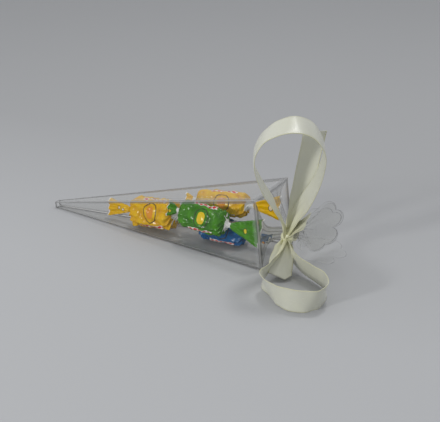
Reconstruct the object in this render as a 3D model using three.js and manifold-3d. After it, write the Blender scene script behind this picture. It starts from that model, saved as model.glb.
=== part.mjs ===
// A clear acetate cone box: a folded four-sided cone lying on its bottom panel, closed at the mouth by four
// flaps that end in scalloped fans, tied with a satin ribbon and holding four twist-wrapped sweets.
// Millimetres, +Z up, +X from the tip to the mouth. The origin is under the middle of the bottom panel.
import * as THREE from 'three'
import { mergeVertices } from 'three/addons/utils/BufferGeometryUtils.js'
import Module from 'manifold-3d'

const wasm = await Module()
wasm.setup()

// Driving dimensions of the folded sheet
const mouthSide = 38
const tipSide = 3.6
const panelLength = 145
const sheetThickness = 0.3
const lapWidth = 5
const lapReach = 0.93
const lapFull = 0.8
const neckWidth = 8
const neckDepth = 7.5
const neckHollow = 1.15
const neckWrap = 0.72
const neckCurl = 0.9
const tieRise = 7.4
const tieDrop = 3
const tieLength = 4.4
const bundleRadius = 4
const fanStandoff = 2
const fanLength = 20
const fanBend = 7
const fanOpening = 0.35

// The ribbon
const ribbonWidth = 12
const ribbonThickness = 0.3
const wrapClearance = 0.3
const wrapThickness = 1.1
const wrapFacets = 20
const knotSize = [2.9, 2.2, 4]
const knotLean = 0.35
const knotOffset = [0.3, -1.3, -1.2]

// Resolution, and the shortest edge left where solids are joined
const flapColumns = 24
const ribbonStep = 3
const smallestEdge = 0.001

const bundleEnd = tieRise + tieLength + fanStandoff
const taper = Math.asin((mouthSide - tipSide) / 2 / panelLength)
const axisLength = panelLength * Math.cos(taper)

const vec = (x, y, z) => new THREE.Vector3(x, y, z)

// Turns the cone's own frame (axis along +X, mouth plane at X = 0) into the resting frame
const coneToRest = new THREE.Matrix4().makeRotationY(-taper)
const mouthCentre = vec(-Math.sin(taper), 0, Math.cos(taper)).multiplyScalar(mouthSide / 2)
mouthCentre.x += panelLength / 2
coneToRest.setPosition(mouthCentre)
const restToCone = coneToRest.clone().invert()

function geometryOf(points, triangles) {
  const geometry = new THREE.BufferGeometry()
  geometry.setAttribute('position', new THREE.Float32BufferAttribute(points.flatMap((p) => p.toArray()), 3))
  geometry.setIndex(triangles)
  return geometry
}

function solidOf(source) {
  const plain = source.clone()
  plain.deleteAttribute('normal')
  plain.deleteAttribute('uv')
  const merged = mergeVertices(plain, 1e-4)
  return new wasm.Manifold(new wasm.Mesh({
    numProp: 3,
    vertProperties: Float32Array.from(merged.attributes.position.array),
    triVerts: Uint32Array.from(merged.index.array),
  }))
}

function geometryOfSolid(solid) {
  const mesh = solid.getMesh()
  const geometry = new THREE.BufferGeometry()
  geometry.setAttribute('position', new THREE.BufferAttribute(Float32Array.from(mesh.vertProperties), 3))
  geometry.setIndex(new THREE.BufferAttribute(Uint32Array.from(mesh.triVerts), 1))
  return geometry
}

// Solids joined into one body, without the specks that are closed in where two sheets cross
function joined(solids) {
  const whole = solids.slice(1).reduce((sum, solid) => sum.add(solid), solids[0]).simplify(smallestEdge)
  return whole.decompose().sort((a, b) => b.volume() - a.volume())[0]
}

// A closed body from equal rings of points: rings[i][j], capped at both ends
function loft(rings) {
  const count = rings[0].length
  const points = rings.flat()
  const triangles = []
  for (let i = 0; i + 1 < rings.length; i++) {
    for (let j = 0; j < count; j++) {
      const a = i * count + j
      const b = i * count + (j + 1) % count
      triangles.push(a, b, b + count, a, b + count, a + count)
    }
  }
  const last = (rings.length - 1) * count
  for (let j = 1; j + 1 < count; j++) {
    triangles.push(0, j + 1, j, last, last + j, last + j + 1)
  }
  return solidOf(geometryOf(points, triangles))
}

// A thin sheet of the given thickness on both sides of a grid of points: grid[row][column]
function sheetSolid(grid, thickness) {
  const rows = grid.length
  const columns = grid[0].length
  const at = (i, j) => grid[Math.min(Math.max(i, 0), rows - 1)][Math.min(Math.max(j, 0), columns - 1)]
  const sides = [1, -1].map((side) => grid.map((row, i) => row.map((point, j) => {
    const along = at(i + 1, j).clone().sub(at(i - 1, j))
    const across = at(i, j + 1).clone().sub(at(i, j - 1))
    return along.cross(across).normalize().multiplyScalar(side * thickness / 2).add(point)
  })))
  const points = sides.flat(2)
  const under = rows * columns
  const triangles = []
  for (let i = 0; i + 1 < rows; i++) {
    for (let j = 0; j + 1 < columns; j++) {
      const a = i * columns + j
      const b = a + columns
      triangles.push(a, b, b + 1, a, b + 1, a + 1)
      triangles.push(under + a, under + b + 1, under + b, under + a, under + a + 1, under + b + 1)
    }
  }
  const rim = []
  for (let j = 0; j < columns; j++) rim.push(j)
  for (let i = 1; i < rows; i++) rim.push(i * columns + columns - 1)
  for (let j = columns - 2; j >= 0; j--) rim.push((rows - 1) * columns + j)
  for (let i = rows - 2; i > 0; i--) rim.push(i * columns)
  rim.forEach((a, k) => {
    const b = rim[(k + 1) % rim.length]
    triangles.push(a, b, under + b, a, under + b, under + a)
  })
  return solidOf(geometryOf(points, triangles))
}

// The four panels: a square tube that tapers to the tip, and the glue lap inside the top panel
function squareRing(x, half, centreY = 0, centreZ = 0) {
  return [[-1, -1], [1, -1], [1, 1], [-1, 1]].map(([y, z]) => vec(x, centreY + y * half, centreZ + z * half))
}

function panels() {
  const end = 1
  const slope = (mouthSide - tipSide) / 2 / axisLength
  const half = (x) => mouthSide / 2 + slope * x
  const wall = sheetThickness / Math.cos(taper)
  const outer = loft([squareRing(-axisLength, half(-axisLength)), squareRing(0, half(0))])
  const inner = loft([
    squareRing(-axisLength - end, half(-axisLength - end) - wall),
    squareRing(end, half(end) - wall),
  ])
  const lapRing = (x, width) => {
    const top = half(x) - wall / 2
    const low = half(x) - 2 * wall
    const near = -half(x) + wall / 2
    return [vec(x, near, low), vec(x, near + width, low), vec(x, near + width, top), vec(x, near, top)]
  }
  const lap = loft([lapRing(-axisLength * lapReach, lapWidth / 4), lapRing(-axisLength * lapFull, lapWidth),
    lapRing(-1, lapWidth)])
  return outer.subtract(inner).add(lap)
}

// Half of a fan's scalloped edge, from its side to the cleft in its middle, as a share of the fan's length:
// three round lobes, each an arc through three points [along, across]
const lobes = [
  [[0.1, 0.17], [0.22, 0.43], [0.42, 0.46]],
  [[0.42, 0.46], [0.72, 0.7], [0.94, 0.5]],
  [[0.94, 0.5], [1.24, 0.28], [1, 0]],
]

function arcThrough([a, b, c], count) {
  const [ax, ay, bx, by, cx, cy] = [...a, ...b, ...c]
  const d = 2 * (ax * (by - cy) + bx * (cy - ay) + cx * (ay - by))
  const [aa, bb, cc] = [ax * ax + ay * ay, bx * bx + by * by, cx * cx + cy * cy]
  const x = (aa * (by - cy) + bb * (cy - ay) + cc * (ay - by)) / d
  const y = (aa * (cx - bx) + bb * (ax - cx) + cc * (bx - ax)) / d
  const radius = Math.hypot(ax - x, ay - y)
  const angles = [a, b, c].map(([px, py]) => Math.atan2(py - y, px - x))
  const turn = (from, to) => ((to - from) % (2 * Math.PI) + 2 * Math.PI) % (2 * Math.PI)
  const forward = turn(angles[0], angles[1]) < turn(angles[0], angles[2])
  const sweep = forward ? turn(angles[0], angles[2]) : -turn(angles[2], angles[0])
  return Array.from({ length: count }, (_, k) => {
    const angle = angles[0] + sweep * k / count
    return [x + radius * Math.cos(angle), y + radius * Math.sin(angle)]
  })
}

const halfEdge = lobes.flatMap((lobe) => arcThrough(lobe, flapColumns / 6))
const fanEdge = [...halfEdge.map(([a, w]) => [a, -w]), [1, 0], ...halfEdge.map(([a, w]) => [a, w]).reverse()]

// Each flap: the panel it folds from (out and across), and where its fan points (in the resting frame)
const flaps = [
  { out: [0, 1, 0], across: [0, 0, 1], fanAlong: [0.45, 0.85, -0.2], fanAcross: [0.15, 0.05, 1] },
  { out: [0, 0, -1], across: [0, 1, 0], fanAlong: [0.94, -0.25, -0.17], fanAcross: [0.25, 1, 0] },
  { out: [0, 0, 1], across: [0, -1, 0], fanAlong: [0.61, 0.75, -0.26], fanAcross: [-0.21, -0.16, -0.96] },
  { out: [0, -1, 0], across: [0, 0, -1], fanAlong: [0.61, 0.79, -0.01], fanAcross: [-0.22, 0.16, -0.96] },
]

// Half the flap's width at a distance from its fold: hollow sides that end in the neck
function flapHalfWidth(distance) {
  const share = Math.min(distance / neckDepth, 1)
  return neckWidth / 2 + (mouthSide / 2 - neckWidth / 2) * (1 - Math.sin(share * Math.PI / 2)) ** neckHollow
}

function flap({ out, across, fanAlong, fanAcross }) {
  const outward = vec(...out)
  const sideways = vec(...across)
  const tie = vec(tieRise, 0, -tieDrop)
  const toCone = (direction) => vec(...direction).transformDirection(restToCone)
  const fanDirection = toCone(fanAlong)
  const fanSide = toCone(fanAcross)
  fanSide.addScaledVector(fanDirection, -fanSide.dot(fanDirection)).normalize()
  const shares = fanEdge.map((_, k) => 2 * k / (fanEdge.length - 1) - 1)
  const fold = outward.clone().multiplyScalar(mouthSide / 2 - sheetThickness / 2)
  const reach = tie.clone().addScaledVector(outward, bundleRadius).sub(fold).length()
  const rows = []

  // Point across the bundle: a quarter of a tube, so that the four necks close round the axis
  const onBundle = (u, x) => {
    const angle = u * neckWidth / 2 / bundleRadius * neckWrap
    return vec(x, 0, -tieDrop).addScaledVector(outward, bundleRadius * Math.cos(angle))
      .addScaledVector(sideways, bundleRadius * Math.sin(angle))
  }
  for (const step of [-0.02, 0.08, 0.18, 0.3, 0.48, 0.72]) {
    const distance = step * reach
    const share = Math.max(step, 0)
    const bend = share * share
    rows.push(shares.map((u) => {
      const flat = fold.clone().lerp(tie.clone().addScaledVector(outward, bundleRadius), distance / reach)
      flat.addScaledVector(sideways, u * flapHalfWidth(Math.max(distance, 0)))
      return flat.lerp(onBundle(u, flat.x), bend * neckCurl)
    }))
  }
  rows.push(shares.map((u) => onBundle(u, tieRise)))
  rows.push(shares.map((u) => onBundle(u, bundleEnd)))

  // The fan opens from the end of the bundle, bending from the axis to its own direction
  const root = vec(bundleEnd, 0, -tieDrop).addScaledVector(outward, bundleRadius)
  for (const share of [0.14, 0.3, 0.5, 0.75, 1]) {
    rows.push(fanEdge.map(([along, side], k) => {
      const reached = share * along * fanLength
      const turned = 1 - Math.exp(-reached / fanBend * 2)
      const start = onBundle(shares[k], bundleEnd)
      const spread = THREE.MathUtils.smoothstep(share, 0, fanOpening)
      const centre = root.clone().addScaledVector(vec(1, 0, 0), reached * (1 - turned))
        .addScaledVector(fanDirection, reached * turned)
      const onFan = centre.addScaledVector(fanSide, side * fanLength * share)
      const onTube = start.clone().addScaledVector(vec(1, 0, 0), reached * (1 - turned))
        .addScaledVector(fanDirection, reached * turned)
      return onTube.lerp(onFan, spread)
    }))
  }
  return sheetSolid(rows, sheetThickness)
}

function acetateCone() {
  const solid = joined([panels(), ...flaps.map(flap)])
  const mesh = new THREE.Mesh(geometryOfSolid(solid), new THREE.MeshStandardMaterial({
    color: 0xe4e6e8, roughness: 0.08, metalness: 0, transparent: true, opacity: 0.25,
  }))
  mesh.name = 'acetate_cone'
  mesh.applyMatrix4(coneToRest)
  return mesh
}

// One strand of ribbon along its route: each stop is its middle point, the direction of its width, how much
// of the width it shows where it is gathered, and how thick the gathers make it
function strand(stops) {
  const curve = new THREE.CatmullRomCurve3(stops.map(({ at }) => vec(...at)), false, 'centripetal')
  const count = Math.max(Math.round(curve.getLength() / ribbonStep), stops.length)
  const rings = []
  for (let k = 0; k <= count; k++) {
    const share = k / count
    const place = share * (stops.length - 1)
    const from = Math.min(Math.floor(place), stops.length - 2)
    const blend = THREE.MathUtils.smoothstep(place - from, 0, 1)
    const [before, after] = [stops[from], stops[from + 1]]
    const mix = (key, plain) => THREE.MathUtils.lerp(before[key] ?? plain, after[key] ?? plain, blend)
    const along = curve.getTangent(share)
    const width = vec(...before.wide).normalize().lerp(vec(...after.wide).normalize(), blend)
    width.addScaledVector(along, -width.dot(along)).normalize()
    const face = along.clone().cross(width).multiplyScalar(ribbonThickness / 2 * mix('thick', 1))
    width.multiplyScalar(ribbonWidth / 2 * mix('shown', 1))
    const middle = curve.getPoint(share)
    rings.push([[-1, -1], [1, -1], [1, 1], [-1, 1]].map(([w, f]) =>
      middle.clone().addScaledVector(width, w).addScaledVector(face, f)))
  }
  return loft(rings)
}

const tieCentre = vec(tieRise + tieLength / 2, 0, -tieDrop).applyMatrix4(coneToRest)
const wrapInner = bundleRadius + sheetThickness / 2 + wrapClearance
const knotCentre = tieCentre.clone().add(vec(...knotOffset))
knotCentre.y -= wrapInner + wrapThickness

// Stops are given from the knot's centre, so that the whole bow follows the tie
const gathered = { shown: 0.34, thick: 4 }
const hoopWide = [-0.444, 0.8, 0.38]
const bow = {
  upright_loop: [
    { at: [-0.5, -0.5, 1], wide: [-0.2, 0.5, 0.3], ...gathered },
    { at: [-0.6, -5.2, 11], wide: [-0.6, 0.6, 0.35], shown: 0.62, thick: 2 },
    { at: [-2.6, -11.6, 21.6], wide: [-0.5, 0.75, 0.4], shown: 0.92 },
    { at: [-5.6, -18.6, 32.5], wide: [-0.46, 0.78, 0.35] },
    { at: [-6.7, -24.6, 43.6], wide: [-0.485, 0.86, 0.1] },
    { at: [-4.6, -28, 53.6], wide: [-0.485, 0.87, 0.05] },
    { at: [0.1, -29, 61.2], wide: [-0.485, 0.87, 0.12] },
    { at: [6.5, -27.8, 66], wide: [-0.46, 0.83, 0.28] },
    { at: [14, -24.2, 67.8], wide: hoopWide },
    { at: [20, -19.3, 64.8], wide: hoopWide },
    { at: [23.6, -13.4, 55.5], wide: hoopWide },
    { at: [22.3, -9.8, 47], wide: hoopWide },
    { at: [18, -6.8, 35.5], wide: [-0.5, 0.78, 0.38] },
    { at: [11.6, -4.7, 23.5], wide: [-0.55, 0.72, 0.4] },
    { at: [5.3, -3.1, 12.7], wide: [-0.6, 0.65, 0.38], shown: 0.75, thick: 1.5 },
    { at: [0.5, -0.3, 1], wide: [-0.2, 0.5, 0.3], ...gathered },
  ],
  floor_loop: [
    { at: [0.2, -0.3, -1], wide: [0.3, -0.4, 0.8], ...gathered },
    { at: [4, -4.5, -4.6], wide: [0.2, -0.4, 0.9], shown: 0.75, thick: 1.5 },
    { at: [11, -9, -8.4], wide: [0.05, -0.45, 0.88] },
    { at: [21, -13.8, -9.6], wide: [0, -0.4, 0.91] },
    { at: [29.5, -20, -9.7], wide: [0.1, -0.3, 0.95] },
    { at: [34, -30, -9.7], wide: [0.25, -0.25, 0.94] },
    { at: [33.3, -37.5, -9.7], wide: [0.12, -0.3, 0.94] },
    { at: [28.5, -42, -9.7], wide: [0.05, -0.1, 0.99] },
    { at: [22, -43.6, -9.7], wide: [0.1, -0.1, 0.99] },
    { at: [15, -42.3, -9.7], wide: [0.05, -0.3, 0.95] },
    { at: [8, -37.6, -9.8], wide: [0.1, -0.55, 0.83] },
    { at: [1.4, -29.7, -10], wide: [0.3, -0.72, 0.63] },
    { at: [0.3, -20, -8], wide: [0.3, -0.7, 0.65], shown: 0.85, thick: 1.5 },
    { at: [0.6, -9.5, -4.4], wide: [0.4, -0.4, 0.7], shown: 0.55, thick: 2 },
    { at: [0, -0.5, -1], wide: [0.3, -0.4, 0.8], ...gathered },
  ],
  long_tail: [
    { at: [0, 0.4, 1], wide: [0.8, -0.2, 0.1], ...gathered },
    { at: [2, 1.4, 9], wide: [0.9, -0.1, -0.1], shown: 0.6, thick: 2 },
    { at: [5.6, 1.6, 22], wide: [0.93, -0.2, -0.15], shown: 0.95 },
    { at: [8.2, 1.4, 34], wide: [0.93, -0.2, -0.15] },
    { at: [10.4, 1.2, 46], wide: [0.93, -0.2, -0.15] },
    { at: [12.4, 1.4, 57.5], wide: [0.93, -0.1, -0.2] },
  ],
  short_tail: [
    { at: [0.3, -0.4, 0.5], wide: [-0.28, 0.9, 0.28], ...gathered },
    { at: [5, -2, 5.6], wide: [-0.28, 0.9, 0.28], shown: 0.6, thick: 1.5 },
    { at: [12, -2.8, 12.5], wide: [-0.28, 0.9, 0.28], shown: 0.85 },
  ],
  hanging_tail: [
    { at: [-0.3, -1.2, -1], wide: [0.8, 0.4, 0.1], ...gathered },
    { at: [1.2, -6, -3.4], wide: [0.86, 0.48, 0.05], shown: 0.8, thick: 1.5 },
    { at: [3, -12.5, -8], wide: [0.87, 0.48, -0.15] },
    { at: [5, -18.2, -13], wide: [0.8, 0.45, -0.25] },
  ],
}

// The wrap round the bundle: a gathered band with a rounded section
function wrap() {
  const [low, high] = [wrapInner, wrapInner + wrapThickness]
  const half = tieLength / 2 - wrapClearance
  const rounding = wrapThickness / 3
  const profile = [[low, -half], [high - rounding, -half], [high, -half + rounding], [high, half - rounding],
    [high - rounding, half], [low, half], [low, -half]].map(([r, y]) => new THREE.Vector2(r, y))
  const ring = new THREE.LatheGeometry(profile, wrapFacets)
  ring.rotateZ(-Math.PI / 2)
  ring.applyMatrix4(new THREE.Matrix4().makeTranslation(tieRise + tieLength / 2, 0, -tieDrop))
  ring.applyMatrix4(coneToRest)
  return solidOf(ring)
}

function knot() {
  const ball = new THREE.SphereGeometry(1, 12, 8)
  ball.scale(...knotSize)
  ball.rotateY(knotLean)
  ball.translate(...knotCentre.toArray())
  return solidOf(ball)
}

function satinRibbon() {
  const strands = Object.values(bow).map((stops) => strand(stops.map((stop) => ({
    ...stop, at: vec(...stop.at).add(knotCentre).toArray(),
  }))))
  const solid = joined([wrap(), knot(), ...strands])
  const mesh = new THREE.Mesh(geometryOfSolid(solid), new THREE.MeshStandardMaterial({
    color: 0xd9dcbf, roughness: 0.35, metalness: 0,
  }))
  mesh.name = 'satin_ribbon'
  return mesh
}

// A twist-wrapped sweet along its own X axis: a rounded body, a twisted neck and a pleated tail at each end
const sweetShape = {
  bodyHalf: 14.5, neckLength: 1.5, twist: 1.5, filmHeight: 0.75, pleats: 2.5, pleatDepth: 0.8, facets: 16,
}

function sweet(name, colour, { at, along, roll, body, tails }) {
  const sections = []
  const { bodyHalf, neckLength, twist, filmHeight, pleats, pleatDepth, facets } = sweetShape
  const ring = (x, width, height, square, pleat = 0) => {
    const points = []
    for (let k = 0; k < facets; k++) {
      const angle = 2 * Math.PI * k / facets
      const [c, s] = [Math.cos(angle), Math.sin(angle)]
      const y = Math.sign(c) * Math.abs(c) ** square * width
      points.push(vec(x, y, Math.sign(s) * Math.abs(s) ** square * height
        + pleat * Math.sin(pleats * Math.PI * y / width)))
    }
    return points
  }
  const half = bodyHalf * body.length
  const [wide, high] = [body.width / 2, body.height / 2]
  for (const end of [-1, 1]) {
    const tail = tails[end < 0 ? 0 : 1]
    const fan = [0.95, 0.7, 0.45, 0.2].map((share) =>
      ring(end * (half + neckLength + tail.length * share), twist + (tail.width / 2 - twist) * share,
        filmHeight + 0.5 * (1 - share), 0.9, pleatDepth * share))
    const shoulder = [ring(end * (half + 1.2), twist, twist, 1),
      ring(end * (half - 0.8), wide * 0.42, high * 0.42, 1),
      ring(end * half * 0.84, wide * 0.82, high * 0.82, 0.9), ring(end * half * 0.55, wide, high, 0.8)]
    sections.push(...(end < 0 ? [...fan, ...shoulder] : [...fan, ...shoulder].reverse()))
  }
  const geometry = geometryOfSolid(loft(sections))
  const mesh = new THREE.Mesh(geometry, new THREE.MeshStandardMaterial({
    color: colour, roughness: 0.25, metalness: 0.1,
  }))
  mesh.name = name
  mesh.quaternion.setFromUnitVectors(vec(1, 0, 0), vec(...along).normalize())
  mesh.quaternion.multiply(new THREE.Quaternion().setFromAxisAngle(vec(1, 0, 0), roll))
  mesh.position.set(...at)
  return mesh
}

// Where each sweet lies: its centre, the way it points, its roll, and its sizes
const sweets = [
  ['yellow_sweet_front', 0xd9a514, {
    at: [-3.5, 0.2, 9.75], along: [1, -0.02, 0.085], roll: 1.35,
    body: { length: 1, width: 16.8, height: 16.2 },
    tails: [{ length: 12.5, width: 10.6 }, { length: 7, width: 9 }],
  }],
  ['yellow_sweet_back', 0xd9a514, {
    at: [36.5, 6.9, 20.9], along: [1, 0.02, 0.1], roll: 1.25,
    body: { length: 1, width: 13.8, height: 12 },
    tails: [{ length: 6, width: 8 }, { length: 14, width: 13 }],
  }],
  ['green_sweet', 0x43851c, {
    at: [31.5, -6.6, 16.4], along: [1, -0.08, -0.02], roll: 1.2,
    body: { length: 0.95, width: 15.4, height: 12 },
    tails: [{ length: 7, width: 9.4 }, { length: 15, width: 15 }],
  }],
  ['blue_sweet', 0x255080, {
    at: [38.2, 3.5, 6.8], along: [1, 0.03, 0], roll: 0,
    body: { length: 1, width: 12.8, height: 12.2 },
    tails: [{ length: 8, width: 8 }, { length: 12, width: 12 }],
  }],
]

const group = new THREE.Group()
group.add(acetateCone(), satinRibbon(), ...sweets.map((entry) => sweet(...entry)))

export default group
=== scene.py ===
# A clear acetate cone box with four twist-wrapped sweets in it, tied at the mouth with a satin bow.
# Shapes are worked out in millimetres, in the part's own frame, and put into the meshes in metres.
import math

import bmesh
import bpy
import numpy as np
from mathutils import Matrix, Vector


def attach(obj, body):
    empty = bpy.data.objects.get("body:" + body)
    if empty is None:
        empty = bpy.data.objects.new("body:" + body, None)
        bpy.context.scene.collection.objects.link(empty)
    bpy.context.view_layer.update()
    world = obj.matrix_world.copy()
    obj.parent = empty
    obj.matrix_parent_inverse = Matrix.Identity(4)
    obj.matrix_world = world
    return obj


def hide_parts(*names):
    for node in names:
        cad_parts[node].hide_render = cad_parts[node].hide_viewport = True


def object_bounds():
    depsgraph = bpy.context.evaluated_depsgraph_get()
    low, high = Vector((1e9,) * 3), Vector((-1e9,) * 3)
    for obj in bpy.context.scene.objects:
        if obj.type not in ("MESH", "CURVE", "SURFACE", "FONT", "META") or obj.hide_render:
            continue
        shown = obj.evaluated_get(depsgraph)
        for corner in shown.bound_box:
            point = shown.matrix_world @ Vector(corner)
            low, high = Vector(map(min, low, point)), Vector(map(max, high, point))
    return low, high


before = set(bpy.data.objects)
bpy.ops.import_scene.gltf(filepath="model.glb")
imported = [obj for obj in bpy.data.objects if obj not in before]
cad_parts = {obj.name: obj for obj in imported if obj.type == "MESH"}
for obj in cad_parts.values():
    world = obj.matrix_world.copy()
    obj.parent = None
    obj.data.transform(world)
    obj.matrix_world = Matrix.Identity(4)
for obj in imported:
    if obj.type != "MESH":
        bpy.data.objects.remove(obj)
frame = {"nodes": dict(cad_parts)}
cadLow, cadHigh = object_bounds()
print("frame loaded:", ", ".join(frame["nodes"]))

mm = 0.001

# Camera: where it stands and how it is turned, in metres
cameraView = {
    "place": (0.25298, -0.38685, 0.20126),
    "right": (0.87394, 0.48603, 0.0),
    "up": (-0.18487, 0.33242, 0.92483),
    "back": (0.44949, -0.80825, 0.38037),
    "lens": 73.636,
    "sensor": 36.0,
}
cameraData = bpy.data.cameras.new("camera")
cameraData.lens = cameraView["lens"]
cameraData.sensor_width = cameraView["sensor"]
cameraData.clip_start = 0.01
cameraObject = bpy.data.objects.new("camera", cameraData)
cameraTurn = Matrix((cameraView["right"], cameraView["up"], cameraView["back"])).transposed().to_4x4()
cameraObject.matrix_world = Matrix.Translation(cameraView["place"]) @ cameraTurn
bpy.context.collection.objects.link(cameraObject)
bpy.context.scene.camera = cameraObject
bpy.context.scene.view_settings.view_transform = "Standard"
print("camera placed")


# Shader maths: a signal is one output of a node, and arithmetic on it adds Math nodes
class Signal:
    def __init__(self, tree, socket):
        self.tree, self.socket = tree, socket

    def math(self, operation, *values):
        node = self.tree.nodes.new("ShaderNodeMath")
        node.operation = operation
        for slot, value in zip(node.inputs, values):
            feed(self.tree, slot, value)
        return Signal(self.tree, node.outputs[0])

    def __add__(self, other): return self.math("ADD", self, other)
    def __radd__(self, other): return self.math("ADD", other, self)
    def __sub__(self, other): return self.math("SUBTRACT", self, other)
    def __rsub__(self, other): return self.math("SUBTRACT", other, self)
    def __mul__(self, other): return self.math("MULTIPLY", self, other)
    def __rmul__(self, other): return self.math("MULTIPLY", other, self)
    def __truediv__(self, other): return self.math("DIVIDE", self, other)
    def __rtruediv__(self, other): return self.math("DIVIDE", other, self)
    def __pow__(self, other): return self.math("POWER", self, other)
    def __rpow__(self, other): return self.math("POWER", other, self)
    def __gt__(self, other): return self.math("GREATER_THAN", self, other)
    def __lt__(self, other): return self.math("LESS_THAN", self, other)
    def __abs__(self): return self.math("ABSOLUTE", self)
    def sin(self): return self.math("SINE", self)
    def part(self): return self.math("FRACT", self)
    def most(self, other): return self.math("MAXIMUM", self, other)
    def least(self, other): return self.math("MINIMUM", self, other)


# Links a signal into a socket, or sets the socket's own value
def feed(tree, slot, value):
    if isinstance(value, Signal):
        tree.links.new(value.socket, slot)
    else:
        slot.default_value = value


# One material being written. add() makes any node: its type, its settings, then the values or links
# of its sockets
class Finish:
    def __init__(self, name):
        self.material = bpy.data.materials.new(name)
        self.material.use_nodes = True
        self.tree = self.material.node_tree
        self.tree.nodes.clear()

    def add(self, kind, settings=None, sockets=None, output=0):
        node = self.tree.nodes.new(kind)
        for key, value in (settings or {}).items():
            setattr(node, key, value)
        for key, value in (sockets or {}).items():
            feed(self.tree, node.inputs[key], value)
        return Signal(self.tree, node.outputs[output])

    def objectCoords(self):
        return self.add("ShaderNodeTexCoord", output="Object")

    def uvPlace(self):
        return self.add("ShaderNodeUVMap", {"uv_map": "UVMap"})

    # the UV map's two numbers, each as a signal
    def uv(self):
        across = self.add("ShaderNodeSeparateXYZ", None, {0: self.uvPlace()})
        return across, Signal(self.tree, across.socket.node.outputs[1])

    def mark(self, name):
        return self.add("ShaderNodeAttribute", {"attribute_name": name}, output="Fac")

    def noise(self, scale, detail=3.0, where=None, **more):
        return self.add("ShaderNodeTexNoise", None, {
            "Vector": where or self.objectCoords(), "Scale": scale, "Detail": detail, **more})

    # (1 - share) of the low colour and share of the high one
    def blend(self, share, low, high):
        pick = {"data_type": "RGBA"}
        node = self.add("ShaderNodeMix", pick, {"Factor": share}, output=2).socket.node
        for slot, value in zip((node.inputs[6], node.inputs[7]), (low, high)):
            feed(self.tree, slot, value if isinstance(value, Signal) else (*value, 1))
        return Signal(self.tree, node.outputs[2])

    # distance in metres, as Blender's Bump node takes it
    def bump(self, height, distance, strength=1.0):
        return self.add("ShaderNodeBump", None, {
            "Height": height, "Distance": distance, "Strength": strength})

    def gloss(self, colour, roughness, **sockets):
        colour = colour if isinstance(colour, Signal) else (*colour, 1)
        return self.add("ShaderNodeBsdfPrincipled", None, {
            "Base Color": colour, "Roughness": roughness,
            **{key.replace("_", " "): value for key, value in sockets.items()}})

    def show(self, shader):
        end = self.tree.nodes.new("ShaderNodeOutputMaterial")
        self.tree.links.new(shader.socket, end.inputs["Surface"])
        return self.material


weldReach = 0.002 * mm  # points closer than this are one point


# Puts a grid of points[row, column] into a mesh of quads, with a UV map and any marks on its points.
# Where the grid closes around on itself, the points that meet are merged.
def gridPiece(name, points, finish, uv=None, marks=None, around=False):
    rows, columns = points.shape[:2]
    corner = np.arange(rows * columns).reshape(rows, columns)
    quads = np.stack([corner[:-1, :-1], corner[:-1, 1:], corner[1:, 1:], corner[1:, :-1]], axis=-1)
    mesh = bpy.data.meshes.new(name)
    mesh.from_pydata((points.reshape(-1, 3) * mm).tolist(), [], quads.reshape(-1, 4).tolist())
    layer = mesh.uv_layers.new(name="UVMap")
    places = np.empty(len(mesh.loops), dtype=np.int32)
    mesh.loops.foreach_get("vertex_index", places)
    if uv is None:
        down, over = np.meshgrid(np.linspace(0, 1, rows), np.linspace(0, 1, columns), indexing="ij")
        uv = np.stack([over, down], axis=-1)
    layer.data.foreach_set("uv", uv.reshape(-1, 2)[places].astype(np.float32).ravel())
    for key, values in (marks or {}).items():
        mesh.attributes.new(key, "FLOAT", "POINT").data.foreach_set(
            "value", np.broadcast_to(values, (rows, columns)).astype(np.float32).ravel())
    mesh.polygons.foreach_set("use_smooth", np.ones(len(mesh.polygons), dtype=bool))
    mesh.materials.append(finish)
    piece = bpy.data.objects.new(name, mesh)
    bpy.context.collection.objects.link(piece)
    if around:
        shape = bmesh.new()
        shape.from_mesh(mesh)
        bmesh.ops.remove_doubles(shape, verts=shape.verts, dist=weldReach)
        bmesh.ops.dissolve_degenerate(shape, edges=shape.edges, dist=weldReach / 2)
        bmesh.ops.recalc_face_normals(shape, faces=shape.faces)
        shape.to_mesh(mesh)
        shape.free()
    mesh.update()
    return piece


# Makes a piece stand for a solid of the part: it hangs from the root body, and the part's solid is hidden
def place(piece, node, slot):
    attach(piece, "root")
    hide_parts(node)
    return piece


# Each vector over its own length
def unit(vectors):
    return vectors / np.maximum(np.linalg.norm(vectors, axis=-1, keepdims=True), 1e-9)


# 3 v^2 - 2 v^3, with v kept between 0 and 1
def smoothstep(values):
    values = np.clip(values, 0, 1)
    return values * values * (3 - 2 * values)


# A curve through the stops: between two of them a cubic whose slopes come from the unevenly spaced
# neighbours, spaced by the square root of their distance, or evenly
def curveThrough(stops, places, even=False):
    stops = np.asarray(stops, float)
    ends = np.concatenate([[2 * stops[0] - stops[1]], stops, [2 * stops[-1] - stops[-2]]])
    apart = np.linalg.norm(np.diff(ends, axis=0), axis=-1, keepdims=True)
    gaps = np.ones_like(apart) if even else np.maximum(apart ** 0.5, 1e-4)
    first = np.minimum(places.astype(int), len(stops) - 2)
    t = (places - first).reshape(-1, *[1] * (stops.ndim - 1))
    p0, p1, p2, p3 = (ends[first + k] for k in range(4))
    d0, d1, d2 = (gaps[first + k] for k in range(3))
    leave = ((p1 - p0) / d0 - (p2 - p0) / (d0 + d1) + (p2 - p1) / d1) * d1
    reach = ((p2 - p1) / d1 - (p3 - p1) / (d1 + d2) + (p3 - p2) / d2) * d1
    bend = 3 * (p2 - p1) - 2 * leave - reach
    return p1 + leave * t + bend * t ** 2 + (2 * (p1 - p2) + leave + reach) * t ** 3


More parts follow.
